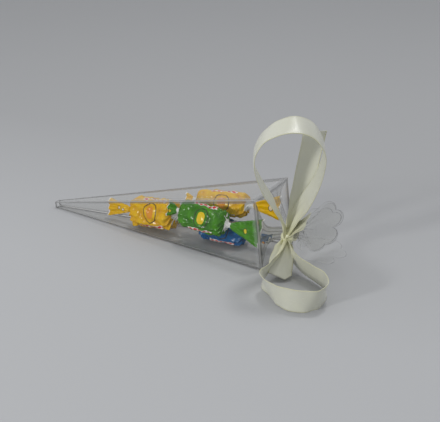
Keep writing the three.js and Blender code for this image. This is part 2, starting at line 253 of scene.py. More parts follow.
# A folded four-sided cone, lying on its bottom panel
cone = {
    "mouthSide": 38.0, "tipSide": 3.6, "panelLength": 145.0, "sheet": 0.3, "foldRadius": 0.7,
    "panelBow": 0.18, "panelWave": 0.1, "waveStep": 17,  # how far a panel hollows and waves
    # the marked rims and the sides of the folds get painted shade
    "mouthBand": 2.4, "tipBand": 2,  # widths of the marked rims
    "creaseBeside": 0.75,  # the strength of the mark beside a fold
    "lapWidth": 5.0, "lapReach": 0.93, "lapFull": 0.8,
    "neckWidth": 8.0, "neckDepth": 7.5, "neckHollow": 1.15, "neckWrap": 0.72, "neckCurl": 0.9,
    "tieRise": 7.4, "tieDrop": 3.0, "tieLength": 4.4, "bundleRadius": 4.0,
    "fanStandoff": 2.0, "fanLength": 20.0, "fanBend": 7.0, "fanOpening": 0.35,
    "buckle": 0.16, "buckles": 9, "wrinkles": 6.5, "wrinkleSharp": 14,
    "filmClearance": 0.25, "filmPress": 0.97,  # how film is held back from the panels
}
taper = math.asin((cone["mouthSide"] - cone["tipSide"]) / 2 / cone["panelLength"])
axisLength = cone["panelLength"] * math.cos(taper)
bundleEnd = cone["tieRise"] + cone["tieLength"] + cone["fanStandoff"]
toRest = np.array([[math.cos(taper), 0, -math.sin(taper)], [0, 1, 0], [math.sin(taper), 0, math.cos(taper)]])
mouthCentre = np.array([-math.sin(taper), 0, math.cos(taper)]) * cone["mouthSide"] / 2
mouthCentre[0] += cone["panelLength"] / 2
tieMiddle = np.array([0, 0, -cone["tieDrop"]])  # the tied bundle's axis runs along X through this


# From the cone's own frame, with its axis along X and its mouth at X = 0, to the frame it rests in
def resting(points):
    return points @ toRest.T + mouthCentre


# Half the outer side of the tube at x: a straight line from the mouth to the tip
def halfSide(x):
    return cone["mouthSide"] / 2 + (cone["mouthSide"] - cone["tipSide"]) / 2 / axisLength * x


# The clear sheet's looks. The panels let a little less light through than the flaps.
sheetLook = {
    "clear sheet": (0.945, 0.943, 0.935, 1), "clear flap": (0.96, 0.96, 0.952, 1),
    # creaseShade is painted shade for folds, cut edges and wrinkles; creaseHighlight is a painted highlight
    # down the middle of a fold
    "mist": (0.62, 0.63, 0.65), "creaseShade": (0.06, 0.06, 0.055), "creaseHighlight": (0.30, 0.30, 0.30),
    "grazing": 0.4, "straight": 0.018, "onFold": 0.12,  # shares of the mirror layer
    "haze": 0.004, "streakHaze": 0.014, "foldShadeHaze": 0.8, "edgeShadeHaze": 0.85, "mostHaze": 0.95,
    "roughness": 0.3, "mirrorRoughness": 0.04, "grain": 260.0, "streak": 38.0,
}


# See-through, misted and darkened by painted shade along its folds and cut edges, with a lighter painted
# highlight down the middle of a fold, and a mirror layer that grows at a grazing view
def clearSheetFinish(name):
    made = Finish(name)
    fold, edge = made.mark("fold"), made.mark("edge")
    grain = made.noise(sheetLook["grain"], 4.0)
    streak = made.noise(sheetLook["streak"], 2.0)
    facing = made.add("ShaderNodeLayerWeight", None, {"Blend": 0.5}, output="Facing")
    mirror = facing ** 5.0 * sheetLook["grazing"] + sheetLook["straight"] + fold * sheetLook["onFold"]
    # painted shade: the sheet turns near-black on folds and cut edges, and lighter at a fold's middle, a
    # painted highlight
    shade = made.blend((fold.most(edge) * 1.6).least(1.0), sheetLook["mist"], sheetLook["creaseShade"])
    shade = made.blend((fold > 0.93), shade, sheetLook["creaseHighlight"])
    body = made.gloss(shade, sheetLook["roughness"] + grain * 0.2)
    clear = made.add("ShaderNodeBsdfTransparent", None, {"Color": sheetLook[name]})
    haze = sheetLook["haze"] + streak * sheetLook["streakHaze"]
    # on folds and cut edges the painted shade covers most of the see-through layer
    haze = haze + fold * sheetLook["foldShadeHaze"] + edge * sheetLook["edgeShadeHaze"]
    hazed = made.add("ShaderNodeMixShader", None, {0: haze.least(sheetLook["mostHaze"]), 1: clear, 2: body})
    shine = made.gloss((1, 1, 1), sheetLook["mirrorRoughness"] + grain * 0.05 + fold * 0.35, Metallic=1.0)
    return made.show(made.add("ShaderNodeMixShader", None, {0: mirror, 1: hazed, 2: shine}))


clearSheet, clearFlap = (clearSheetFinish(name) for name in ("clear sheet", "clear flap"))


# The tube of four panels: at each x a square ring with rounded corners, its half side growing from the tip,
# and each panel hollowed by a half sine across it
def panelTube():
    rows, flats, arcs = 90, 18, 7  # points along the tube, across a panel and round a corner
    x = np.concatenate([np.linspace(-axisLength, -1.6, rows - 3), [-1.0, -0.5, 0]])
    half = halfSide(x)
    radius = np.minimum(cone["foldRadius"], half * 0.3)
    ring, fold = [], []
    for k in range(4):
        middle = math.pi / 4 + k * math.pi / 2
        corner = np.sign([math.cos(middle), math.sin(middle)])
        turn = k * math.pi / 2 + np.linspace(0, math.pi / 2, arcs)
        ring += [(half - radius)[:, None, None] * corner + radius[:, None, None]
                 * np.stack([np.cos(turn), np.sin(turn)], -1)]
        fold += [np.sin(np.linspace(0, math.pi, arcs)) * 0.5 + 0.5]
        start = ring[-1][:, -1]
        nextCorner = np.sign([math.cos(middle + math.pi / 2), math.sin(middle + math.pi / 2)])
        outward = np.array([math.cos((k + 1) * math.pi / 2), math.sin((k + 1) * math.pi / 2)])
        end = (half - radius)[:, None] * nextCorner + radius[:, None] * outward
        share = np.concatenate([[0.022, 0.04], np.linspace(0.06, 0.94, flats - 4), [0.96, 0.978]])
        bow = np.sin(share * math.pi)[None, :, None] * outward
        hollow = cone["panelBow"] + cone["panelWave"] * np.sin(x / cone["waveStep"] + k)[:, None, None]
        ring += [start[:, None] + (end - start)[:, None] * share[None, :, None] - bow * hollow]
        fold += [np.concatenate([[cone["creaseBeside"]], np.zeros(flats - 2), [cone["creaseBeside"]]])]
    ring = np.concatenate(ring, axis=1)
    ring = np.concatenate([ring, ring[:, :1]], axis=1)
    # the fold mark is painted shade on the rounded corners and beside them, with a painted highlight at a
    # corner's middle; the mouth rim gets painted shade too
    fold = np.concatenate(fold + [[0.5]])
    points = np.concatenate([np.broadcast_to(x[:, None, None], (*ring.shape[:2], 1)), ring], axis=-1)
    mouth = np.clip(1 - (x[-1] - x) / cone["mouthBand"], 0, 1)[:, None]
    # painted shade round the tip's cut end
    tip = np.clip(1 - (x - x[0]) / cone["tipBand"], 0, 1)[:, None]
    return gridPiece("panel_tube", resting(points), clearSheet, around=True,
                     marks={"fold": np.maximum(fold[None], mouth), "edge": tip})


# The glue lap: a flat strip under the top panel along its near edge, cut narrower at both ends
def glueLap():
    lapEnd = -axisLength * cone["lapReach"]
    x = np.linspace(lapEnd, -1, 60)
    half = halfSide(x)
    width = cone["lapWidth"] * np.interp(
        x, [lapEnd, -axisLength * cone["lapFull"], -6, -1], [0.25, 1, 1, 0.5])
    share = np.array([0, 0.06, 0.3, 0.6, 0.9, 1.0])
    # painted shade along the lap's fold and its cut edge
    marks = {"fold": [0.7, 0.2, 0, 0, 0.1, 0], "edge": [0, 0, 0, 0, 0.1, 0.8]}
    y = (-half + cone["sheet"])[:, None] + width[:, None] * share
    z = (half - cone["sheet"] * 1.4)[:, None] + 0 * share
    points = np.stack([x[:, None] + 0 * share, y, z], axis=-1)
    return gridPiece("glue_lap", resting(points), clearSheet, marks=marks)


place(panelTube(), "acetate_cone", "clear_sheet")
place(glueLap(), "acetate_cone", "clear_sheet")
print("panels made")

# Half a fan's edge, from its side to the cleft in its middle: round lobes, each through three points
# [along, across] in fan lengths
lobes = [
    [[0.1, 0.17], [0.22, 0.43], [0.42, 0.46]],
    [[0.42, 0.46], [0.72, 0.7], [0.94, 0.5]],
    [[0.94, 0.5], [1.24, 0.28], [1, 0]],
]


# Points of the circle's arc that starts at a, passes b and ends before c
def arcThrough(a, b, c, count):
    (ax, ay), (bx, by), (cx, cy) = a, b, c
    d = 2 * (ax * (by - cy) + bx * (cy - ay) + cx * (ay - by))
    aa, bb, cc = ax * ax + ay * ay, bx * bx + by * by, cx * cx + cy * cy
    x = (aa * (by - cy) + bb * (cy - ay) + cc * (ay - by)) / d
    y = (aa * (cx - bx) + bb * (ax - cx) + cc * (bx - ax)) / d
    start, passing, stop = (math.atan2(py - y, px - x) for px, py in (a, b, c))
    forward = (passing - start) % (2 * math.pi) < (stop - start) % (2 * math.pi)
    sweep = (stop - start) % (2 * math.pi) if forward else -((start - stop) % (2 * math.pi))
    angle = start + sweep * np.arange(count) / count
    return np.stack([x + math.hypot(ax - x, ay - y) * np.cos(angle),
                     y + math.hypot(ax - x, ay - y) * np.sin(angle)], axis=-1)


halfEdge = np.concatenate([arcThrough(*lobe, 16) for lobe in lobes])
fanEdge = np.concatenate([halfEdge * [1, -1], [[1, 0]], halfEdge[::-1]])
fanShares = np.linspace(-1, 1, len(fanEdge))

# Each flap's panel side and the fold's direction in the cone's own frame, then where its fan points and
# how it is turned in the frame it rests in
flaps = {
    "far_flap": {"out": [0, 1, 0], "across": [0, 0, 1],
                 "along": [0.45, 0.85, -0.2], "side": [0.15, 0.05, 1]},
    "bottom_flap": {"out": [0, 0, -1], "across": [0, 1, 0],
                    "along": [0.94, -0.25, -0.17], "side": [0.25, 1, 0]},
    "top_flap": {"out": [0, 0, 1], "across": [0, -1, 0],
                 "along": [0.61, 0.75, -0.26], "side": [-0.21, -0.16, -0.96]},
    "near_flap": {"out": [0, -1, 0], "across": [0, 0, -1],
                  "along": [0.61, 0.79, -0.01], "side": [-0.22, 0.16, -0.96]},
}
# Rows of a flap, as shares of the way from the fold to the tie and then of the fan's length
flapRows = {"toTie": (0, 0.08, 0.18, 0.3, 0.48, 0.72), "onFan": (0.14, 0.3, 0.5, 0.75, 0.97, 1)}
# How strong each mark is at some of a flap's rows, or at some shares of its half width. creaseShade is
# painted shade: strong at the fold, a band over the rows near the mouth, and fading out on the fan. The
# wrinkle lines and the cut marks are painted shade too.
flapMarks = {
    "drawnIn": ([0, 2, 5, 7.5, 9, 13], [0, 0.3, 1, 1, 0.4, 0]),
    "creaseShade": ([0, 0.5, 1.2, 5, 6.5, 7.2, 8], [1, 0.9, 0.42, 0.4, 0.25, 0.2, 0.015]),
    "wrinkle": ([0, 1, 4, 7, 9, 11], [0, 0.1, 0.45, 0.5, 0.12, 0]),
    "sideCut": ([0, 0.965, 0.985, 1], [0, 0, 0.8, 0.8]),
    "endCut": ([0, 12.1, 12.6, 13], [0, 0, 0.8, 0.8]),
}


# A flap: rows from its fold to its fan's edge, with curves run through them. Its hollow sides close in to the
# neck as a power of (1 - sine), the neck bends round the bundle as an arc, and past the tie it opens as a
# scalloped fan, which turns to its own direction by 1 - exp(-way gone).
def flapSurface(name, out, across, along, side):
    out, across = np.array(out, float), np.array(across, float)
    fanAlong = unit(np.array(along) @ toRest)
    fanSide = np.array(side) @ toRest
    fanSide = unit(fanSide - fanAlong * (fanSide @ fanAlong))
    axis = np.array([1.0, 0, 0])
    u = fanShares[:, None]
    fold = out * (cone["mouthSide"] - cone["sheet"]) / 2
    rim = tieMiddle + axis * cone["tieRise"] + out * cone["bundleRadius"]
    reach = np.linalg.norm(rim - fold)

    def onBundle(x):
        angle = u * cone["neckWidth"] / 2 / cone["bundleRadius"] * cone["neckWrap"]
        return tieMiddle + axis * x + cone["bundleRadius"] * (out * np.cos(angle) + across * np.sin(angle))

    rows = []
    for share in flapRows["toTie"]:
        inward = min(share * reach / cone["neckDepth"], 1)
        hollow = (1 - math.sin(inward * math.pi / 2)) ** cone["neckHollow"]
        half = cone["neckWidth"] / 2 + (cone["mouthSide"] - cone["neckWidth"]) / 2 * hollow
        flat = fold + (rim - fold) * share + across * u * half
        rows.append(flat + (onBundle(flat[:, :1]) - flat) * share * share * cone["neckCurl"])
    rows += [onBundle(cone["tieRise"]), onBundle(bundleEnd)]
    root = tieMiddle + axis * bundleEnd + out * cone["bundleRadius"]
    for share in flapRows["onFan"]:
        gone = share * fanEdge[:, :1] * cone["fanLength"]
        turned = 1 - np.exp(-gone / cone["fanBend"] * 2)
        shift = axis * gone * (1 - turned) + fanAlong * gone * turned
        onFan = root + shift + fanSide * fanEdge[:, 1:] * cone["fanLength"] * share
        onTube = onBundle(bundleEnd) + shift
        rows.append(onTube + (onFan - onTube) * smoothstep(share / cone["fanOpening"]))
    places = np.concatenate([np.linspace(0, 12, 97), [12.3, 12.6, 13]])  # counted in rows from the fold
    points = curveThrough(np.array(rows), places, even=True)
    normal = unit(np.cross(np.gradient(points, axis=0), np.gradient(points, axis=1)))
    drawnIn, creaseShade, wrinkled = (np.interp(places, *flapMarks[key])[:, None]
                                 for key in ("drawnIn", "creaseShade", "wrinkle"))
    points = points + normal * (cone["buckle"] * drawnIn * np.sin(u[:, 0] * cone["buckles"] + 1))[..., None]
    # the wrinkles are painted shade only: thin lines added to the creaseShade mark, with no fold in the
    # surface
    wander = 0.8 * np.sin(places / 1.7)[:, None]
    wrinkle = np.abs(np.sin(u[:, 0] * cone["wrinkles"] + wander)) ** cone["wrinkleSharp"]
    creaseShade = creaseShade + wrinkle * wrinkled
    # painted shade along the cut sides and the fan's scalloped end
    cut = np.maximum(np.interp(np.abs(fanShares), *flapMarks["sideCut"])[None],
                     np.interp(places, *flapMarks["endCut"])[:, None])
    return gridPiece(name, resting(points), clearFlap, marks={"fold": creaseShade, "edge": cut})


for name, shape in flaps.items():
    place(flapSurface(name, **shape), "acetate_cone", "clear_sheet")
print("flaps made")

# The satin ribbon: one strip, shown in five strands, a knot and a wrap
ribbon = {
    "width": 12.0, "thickness": 0.28, "rowStep": 0.6, "columns": 33, "pleat": 1.5, "cup": 0.3,
    "pleatTurn": 14, "waver": 0.12, "waverStep": 6.5, "cutReach": 9,
    "selvedgeFrom": 0.93, "stitch": 0.085, "floats": (70.0, 2.2, 1.0), "threadHeight": 0.00008,
    # shade is painted light: the lighter, yellower colour of gathered ribbon
    "cream": (0.535, 0.54, 0.475), "shade": (0.70, 0.69, 0.43), "selvedge": (0.58, 0.57, 0.32),
    "roughness": 0.18, "sheen": 0.25, "sheenRoughness": 0.4, "wrapClearance": 0.3, "wrapThickness": 1.1,
}
# gatherLight on the knot and the wrap: how far their cream is painted towards the lighter gathered colour
knot = {
    "size": (3.2, 2.3, 4.5), "lean": 0.35, "offset": (0.3, -1.3, -1.2), "ridge": 0.11, "crossRidge": 0.04,
    "gatherLight": 0.9,
}
wrap = {"squareSide": 0.6, "squareOut": 0.7, "ridge": 0.14, "ridgeTurns": 4.2, "gatherLight": 0.7}
tieCentre = resting(np.array([cone["tieRise"] + cone["tieLength"] / 2, 0, -cone["tieDrop"]]))
wrapInner = cone["bundleRadius"] + cone["sheet"] / 2 + ribbon["wrapClearance"]
knotCentre = tieCentre + knot["offset"] - np.array([0, wrapInner + ribbon["wrapThickness"], 0])


# Fine threads run along the ribbon, and a stitched selvedge along both its edges. Where the ribbon is
# gathered, its cream is painted lighter and yellower, painted light.
def satinFinish():
    made = Finish("cream satin")
    across, along = made.uv()
    toEdge = abs(across - 0.5) * 2.0
    band = (toEdge > ribbon["selvedgeFrom"])
    stitch = (along * 2 * math.pi / ribbon["stitch"]).sin() * 0.5 + 0.5
    where = made.add("ShaderNodeMapping", None, {"Vector": made.uvPlace(), "Scale": ribbon["floats"]})
    floats = made.noise(1.0, 3.0, where)
    mottle = made.noise(90.0, 3.0)
    gatherLight = made.mark("gatherLight")
    # painted light: gathered ribbon turns from cream towards the lighter, yellower shade colour; the mottle
    # is random tone
    plain = made.blend(mottle * 0.35 + gatherLight * 0.75, ribbon["cream"], ribbon["shade"])
    colour = made.blend(band * (0.35 + stitch * 0.5), plain, ribbon["selvedge"])
    height = floats + band * stitch * 2.0
    return made.show(made.gloss(
        colour, ribbon["roughness"] + floats * 0.14 + band * 0.2, Specular_IOR_Level=1.0,
        Sheen_Weight=ribbon["sheen"], Sheen_Roughness=ribbon["sheenRoughness"],
        Normal=made.bump(height, ribbon["threadHeight"])))


satin = satinFinish()

gathered = {"shown": 0.34}
hoopWide = [-0.444, 0.8, 0.38]
# Stops of each strand from the knot's centre: the middle of the ribbon, the direction of its width, and the
# share of its width that shows. A cut end is slanted by (share of the half width, mm further).
bow = {
    "upright_loop": {"stops": [
        {"at": [-0.5, -0.5, 1], "wide": [-0.2, 0.5, 0.3], **gathered},
        {"at": [-0.6, -5.2, 11], "wide": [-0.6, 0.6, 0.35], "shown": 0.62},
        {"at": [-2.6, -11.6, 21.6], "wide": [-0.5, 0.75, 0.4], "shown": 0.92},
        {"at": [-5.6, -18.6, 32.5], "wide": [-0.46, 0.78, 0.35]},
        {"at": [-6.7, -24.6, 43.6], "wide": [-0.485, 0.86, 0.1]},
        {"at": [-4.6, -28, 53.6], "wide": [-0.485, 0.87, 0.05]},
        {"at": [0.1, -29, 61.2], "wide": [-0.485, 0.87, 0.12]},
        {"at": [6.5, -27.8, 66], "wide": [-0.46, 0.83, 0.28]},
        {"at": [14, -24.2, 67.8], "wide": hoopWide},
        {"at": [20, -19.3, 64.8], "wide": hoopWide},
        {"at": [23.6, -13.4, 55.5], "wide": hoopWide},
        {"at": [22.3, -9.8, 47], "wide": hoopWide},
        {"at": [18, -6.8, 35.5], "wide": [-0.5, 0.78, 0.38]},
        {"at": [11.6, -4.7, 23.5], "wide": [-0.55, 0.72, 0.4]},
        {"at": [5.3, -3.1, 12.7], "wide": [-0.6, 0.65, 0.38], "shown": 0.75},
        {"at": [0.5, -0.3, 1], "wide": [-0.2, 0.5, 0.3], **gathered},
    ]},
    "floor_loop": {"stops": [
        {"at": [0.2, -0.3, -1], "wide": [0.3, -0.4, 0.8], **gathered},
        {"at": [4, -4.5, -4.6], "wide": [0.2, -0.4, 0.9], "shown": 0.75},
        {"at": [11, -9, -8.4], "wide": [0.05, -0.45, 0.88]},
        {"at": [21, -13.8, -9.6], "wide": [0, -0.4, 0.91]},
        {"at": [29.5, -20, -9.7], "wide": [0.1, -0.3, 0.95]},
        {"at": [34, -30, -9.7], "wide": [0.25, -0.25, 0.94]},
        {"at": [33.3, -37.5, -9.7], "wide": [0.12, -0.3, 0.94]},
        {"at": [28.5, -42, -9.7], "wide": [0.05, -0.06, 0.99]},
        {"at": [22, -43.6, -9.7], "wide": [0.08, -0.06, 0.99]},
        {"at": [15, -42.3, -9.7], "wide": [0.05, -0.27, 0.95]},
        {"at": [8, -37.6, -9.8], "wide": [0.1, -0.55, 0.83]},
        {"at": [1.4, -29.7, -10], "wide": [0.3, -0.72, 0.63]},
        {"at": [0.3, -20, -8], "wide": [0.3, -0.7, 0.65], "shown": 0.85},
        {"at": [0.6, -9.5, -4.4], "wide": [0.4, -0.4, 0.7], "shown": 0.55},
        {"at": [0, -0.5, -1], "wide": [0.3, -0.4, 0.8], **gathered},
    ]},
    "long_tail": {"cut": [(-1, -2.5), (1, 2.5)], "stops": [
        {"at": [0, 0.4, 1], "wide": [0.8, -0.2, 0.1], **gathered},
        {"at": [2, 1.4, 9], "wide": [0.9, -0.1, -0.1], "shown": 0.6},
        {"at": [5.6, 1.6, 22], "wide": [0.93, -0.2, -0.15], "shown": 0.95},
        {"at": [8.2, 1.4, 34], "wide": [0.93, -0.2, -0.15]},
        {"at": [10.4, 1.2, 46], "wide": [0.93, -0.2, -0.15]},
        {"at": [12.4, 1.4, 57.5], "wide": [0.93, -0.1, -0.2]},
    ]},
    "short_tail": {"cut": [(-1, -1.5), (1, 1.5)], "stops": [
        {"at": [0.3, -0.4, 0.5], "wide": [-0.28, 0.9, 0.28], **gathered},
        {"at": [5, -2, 5.6], "wide": [-0.28, 0.9, 0.28], "shown": 0.6},
        {"at": [12, -2.8, 12.5], "wide": [-0.28, 0.9, 0.28], "shown": 0.85},
    ]},
    "hanging_tail": {"cut": [(-1, -0.8), (0.45, 1.2), (1, -1.8)], "stops": [
        {"at": [-0.3, -1.2, -1], "wide": [0.8, 0.4, 0.1], **gathered},
        {"at": [1.2, -6, -3.4], "wide": [0.86, 0.48, 0.05], "shown": 0.8},
        {"at": [3, -12.5, -8], "wide": [0.87, 0.48, -0.15]},
        {"at": [5, -18.2, -13], "wide": [0.8, 0.45, -0.25]},
    ]},
}


# A strand: the ribbon's width carried along a curve through its stops. Where it is gathered the width
# shrinks to the shown share and stands in pleats, a wave across the width as deep as what is hidden.
def strandSurface(stops, cut=None):
    points = np.array([stop["at"] for stop in stops], float) + knotCentre
    length = np.linalg.norm(np.diff(points, axis=0), axis=1).sum()
    places = np.linspace(0, len(stops) - 1, int(length / ribbon["rowStep"]))
    middle = curveThrough(points, places)
    along = unit(np.gradient(middle, axis=0))
    first = np.minimum(places.astype(int), len(stops) - 2)
    share = smoothstep(places - first)[:, None]
    wides = unit(np.array([stop["wide"] for stop in stops], float))
    wide = wides[first] * (1 - share) + wides[first + 1] * share
    wide = unit(wide - along * (wide * along).sum(axis=1, keepdims=True))
    face = np.cross(along, wide)
    shown = np.array([stop.get("shown", 1.0) for stop in stops])
    shown = (shown[first] * (1 - share[:, 0]) + shown[first + 1] * share[:, 0])[:, None]
    w = np.linspace(-1, 1, ribbon["columns"])[None]
    run = np.concatenate([[0], np.cumsum(np.linalg.norm(np.diff(middle, axis=0), axis=1))])[:, None]
    rise = ribbon["pleat"] * (1 - shown) * np.sin(w * 2 * math.pi + 0.6 + run / ribbon["pleatTurn"])
    rise = rise + ribbon["cup"] * shown * (0.35 - w * w)
    rise = rise + ribbon["waver"] * shown * np.sin(run / ribbon["waverStep"] + w * 1.3)
    grid = (middle[:, None] + wide[:, None] * (w * shown * ribbon["width"] / 2)[..., None]
            + face[:, None] * rise[..., None])
    if cut:
        reach = ribbon["cutReach"]
        extra = np.interp(w[0], *zip(*cut))[None] * smoothstep((run - run[-1] + reach) / reach)
        grid = grid + along[:, None] * extra[..., None]
    uv = np.stack([(w + 1) / 2 + 0 * run, run / ribbon["width"] + 0 * w], axis=-1)
    # the third value is the gatherLight mark: painted light where the strand is gathered
    return grid, uv, np.clip((1 - shown) * 1.5, 0, 1), float(run[-1, 0])


# Half the thickness to each side of the surface
def thicken(piece, thickness):
    solid = piece.modifiers.new("thickness", "SOLIDIFY")
    solid.thickness, solid.offset = thickness * mm, 0
    return piece


# The knot: a small crossed ball of pleated ribbon, an ellipsoid with ridges that run over it on the slant
def knotSurface():
    height = np.linspace(0, math.pi, 49)[:, None]
    turn = np.linspace(0, 2 * math.pi, 97)[None]
    ridge = 0.95 + knot["ridge"] * np.abs(np.sin(turn * 3 + height * 2.2)) * np.sin(height)
    ridge = ridge + knot["crossRidge"] * np.sin(turn * 5 - height * 3) * np.sin(height)
    ball = np.stack([np.sin(height) * np.cos(turn), np.sin(height) * np.sin(turn),
                     np.cos(height) + 0 * turn], axis=-1) * knot["size"] * ridge[..., None]
    lean = knot["lean"]
    spin = np.array([[math.cos(lean), 0, math.sin(lean)], [0, 1, 0], [-math.sin(lean), 0, math.cos(lean)]])
    uv = np.stack([turn / 2 / math.pi * 0.9 + 0.05 + 0 * height, height / 2 + 0 * turn], axis=-1)
    piece = gridPiece("knot", ball @ spin.T + knotCentre, satin, uv=uv, around=True,
                      marks={"gatherLight": knot["gatherLight"]})
    return place(piece, "satin_ribbon", "satin")


# The wrap: a gathered band round the neck of the flaps, a closed rounded section with ridges round it
def wrapSurface():
    turn = np.linspace(0, 2 * math.pi, 97)[:, None]
    section = np.linspace(0, 2 * math.pi, 49)[None]
    half = cone["tieLength"] / 2 - ribbon["wrapClearance"]
    deep = ribbon["wrapThickness"] / 2
    side = np.sign(np.cos(section)) * np.abs(np.cos(section)) ** wrap["squareSide"] * half
    out = np.sign(np.sin(section)) * np.abs(np.sin(section)) ** wrap["squareOut"] * deep
    ridges = np.sin(side * wrap["ridgeTurns"] + np.sin(turn * 2) * 0.8) * (np.sin(section) > 0.2)
    out = out + wrap["ridge"] * ridges
    radius = wrapInner + deep + out
    points = np.stack([side + 0 * turn + cone["tieRise"] + cone["tieLength"] / 2,
                       radius * np.cos(turn), radius * np.sin(turn) - cone["tieDrop"]], axis=-1)
    uv = np.stack([side / ribbon["width"] + 0.5 + 0 * turn, turn / 2 + 0 * side], axis=-1)
    piece = gridPiece("wrap", resting(points), satin, uv=uv, around=True,
                      marks={"gatherLight": wrap["gatherLight"]})
    return place(piece, "satin_ribbon", "satin")


knotPieces = [knotSurface(), wrapSurface()]
for name, strand in bow.items():
    grid, uv, gatherLight, length = strandSurface(**strand)
    piece = gridPiece(name, grid, satin, uv=uv, marks={"gatherLight": gatherLight})
    place(thicken(piece, ribbon["thickness"]), "satin_ribbon", "satin")
    length * mm
print("ribbon made")

# The sweets: a hard lozenge in printed film, twisted at both ends
wrapperShape = {
    "bodyHalf": 14.5, "twist": 1.5, "tailRoot": 1.5, "filmHeight": 0.75, "pleats": 2.5, "pleatDepth": 0.8,
    "puff": 0.06, "folds": 9, "foldDepth": 0.15, "fineDepth": 0.04,  # shares of the half width
    "neckSpan": 3.2, "drawnSpan": 5.0, "drawnRidges": 5.5, "drawnDepth": 0.34,  # the gathering into a neck
    "neckTurn": 1.6, "zigzag": 1.15, "flutter": 0.35,
    "pinking": 0.22, "whiteEnd": 0.75, "rows": 220, "around": 144,
}
# Each sweet's middle, direction and turn, its sizes, and its two tails as (length, width)
sweets = {
    "yellow_sweet_front": {
        "slot": "yellow_wrapper", "at": [-3.5, 0.2, 9.75], "along": [1, -0.02, 0.085], "roll": 1.35,
        "length": 1.03, "width": 16.8, "height": 16.6, "tails": [(16, 10), (7, 9)], "seed": 3},
    "yellow_sweet_back": {
        "slot": "yellow_wrapper", "at": [36.0, 6.9, 21.1], "along": [1, 0.02, 0.1], "roll": 1.25,
        "length": 1.1, "width": 13.8, "height": 12, "tails": [(6, 8), (17, 13)], "seed": 5},
    "green_sweet": {
        "slot": "green_wrapper", "at": [31.5, -6.6, 16.4], "along": [1, -0.08, -0.02], "roll": 1.2,
        "length": 1.04, "width": 15.4, "height": 12, "tails": [(7, 9.4), (19.5, 15)], "seed": 8},
    "blue_sweet": {
        "slot": "blue_wrapper", "at": [38.2, 3.5, 6.8], "along": [1, 0.03, 0], "roll": 0,
        "length": 1, "width": 12.8, "height": 12.2, "tails": [(8, 8), (12, 12)], "seed": 13},
}
# Where things are printed: round the body in turns, along it in half bodies from its middle
printed = {
    "facing": 0.43, "bandOff": 0.175, "bandHalf": 0.024, "bandMiddle": 0.1, "bandReach": 0.5,
    "lozenges": 17.0, "lozengeHalf": 0.017,
    "discTurn": 0.44, "discAlong": 0.12, "turnLength": 2.76, "disc": 0.15, "ring": 0.27, "ringHalf": 0.016,
    "tailFrom": 1.22, "dotSpread": (5.0, 3.4, 1.0), "dotRim": 0.24, "dot": 0.18,
    "white": (0.72, 0.70, 0.66), "red": (0.55, 0.03, 0.03), "line": (0.03, 0.03, 0.02),
    "dotLine": (0.03, 0.035, 0.02), "paper": (0.70, 0.70, 0.68),
}
filmLook = {"roughness": 0.14, "specular": 0.25, "coat": 0.05, "coatRoughness": 0.12, "crinkle": 0.0003}
# creaseShade is painted shade: each wrapper's colour in its crumpled hollows
wrapperColours = {
    "yellow_wrapper": {
        "field": (0.72, 0.46, 0.0), "creaseShade": (0.52, 0.22, 0.0),
        "motif": (0.66, 0.26, 0.02), "dot": (0.75, 0.62, 0.45)},
    "green_wrapper": {
        "field": (0.06, 0.26, 0.0), "creaseShade": (0.012, 0.085, 0.004),
        "motif": (0.70, 0.50, 0.01), "dot": (0.68, 0.55, 0.02)},
    "blue_wrapper": {
        "field": (0.006, 0.105, 0.29), "creaseShade": (0.006, 0.03, 0.10),
        "motif": (0.62, 0.30, 0.02), "dot": (0.60, 0.22, 0.02)},
}


# Printed film with painted shade in its crumpled hollows: each print is a test on the UV map, blended over
# what is under it
def wrapperFinish(name, colours):
    made = Finish(name)
    around, along = made.uv()
    around = around.part()
    neck, end, crumple = made.mark("neck"), made.mark("end"), made.mark("crumple")
    soft = made.noise(120.0, 3.0)
    # painted shade: the film turns to the creaseShade colour where it is crumpled in; the soft noise is
    # random tone
    film = made.blend(crumple * 0.6 + soft * 0.15, colours["field"], colours["creaseShade"])
    # a lengthwise white band with a row of red lozenges, on both sides of the face
    fromBand = abs(abs(around - printed["facing"]) - printed["bandOff"])
    onBody = (abs(along - printed["bandMiddle"]) < printed["bandReach"])
    band = (fromBand < printed["bandHalf"]) * onBody
    lozenge = (abs((along * printed["lozenges"]).sin()) * printed["lozengeHalf"] > fromBand) * onBody
    film = made.blend(band, film, printed["white"])
    film = made.blend(lozenge, film, printed["red"])
    # a plain disc in a thin ring in the middle of the face
    aside = (around - printed["discTurn"]) * printed["turnLength"]
    ahead = along - printed["discAlong"]
    fromDisc = (aside * aside + ahead * ahead) ** 0.5
    film = made.blend((fromDisc < printed["disc"]), film, colours["motif"])
    film = made.blend((abs(fromDisc - printed["ring"]) < printed["ringHalf"]), film, printed["line"])
    # scattered dots on the tails
    spread = made.add("ShaderNodeMapping", None, {"Vector": made.uvPlace(), "Scale": printed["dotSpread"]})
    cell = made.add("ShaderNodeTexVoronoi", None, {"Vector": spread, "Scale": 1.0, "Randomness": 0.5})
    onTail = (abs(along) > printed["tailFrom"])
    film = made.blend((cell < printed["dotRim"]) * onTail, film, printed["dotLine"])
    film = made.blend((cell < printed["dot"]) * onTail, film, colours["dot"])
    # bare white film in the twisted necks and along the cut ends
    bare = (neck * (0.35 + made.noise(150.0, 2.0)) > 0.62)
    film = made.blend(end.most(bare), film, printed["paper"])
    crinkle = made.noise(420.0, 4.0, Distortion=1.2)
    return made.show(made.gloss(
        film, filmLook["roughness"] + soft * 0.14, Specular_IOR_Level=filmLook["specular"],
        Coat_Weight=filmLook["coat"], Coat_Roughness=filmLook["coatRoughness"],
        Normal=made.bump(crinkle, filmLook["crinkle"], 0.35)))


wrapperFinishes = {name: wrapperFinish(name.replace("_", " "), look)
                   for name, look in wrapperColours.items()}


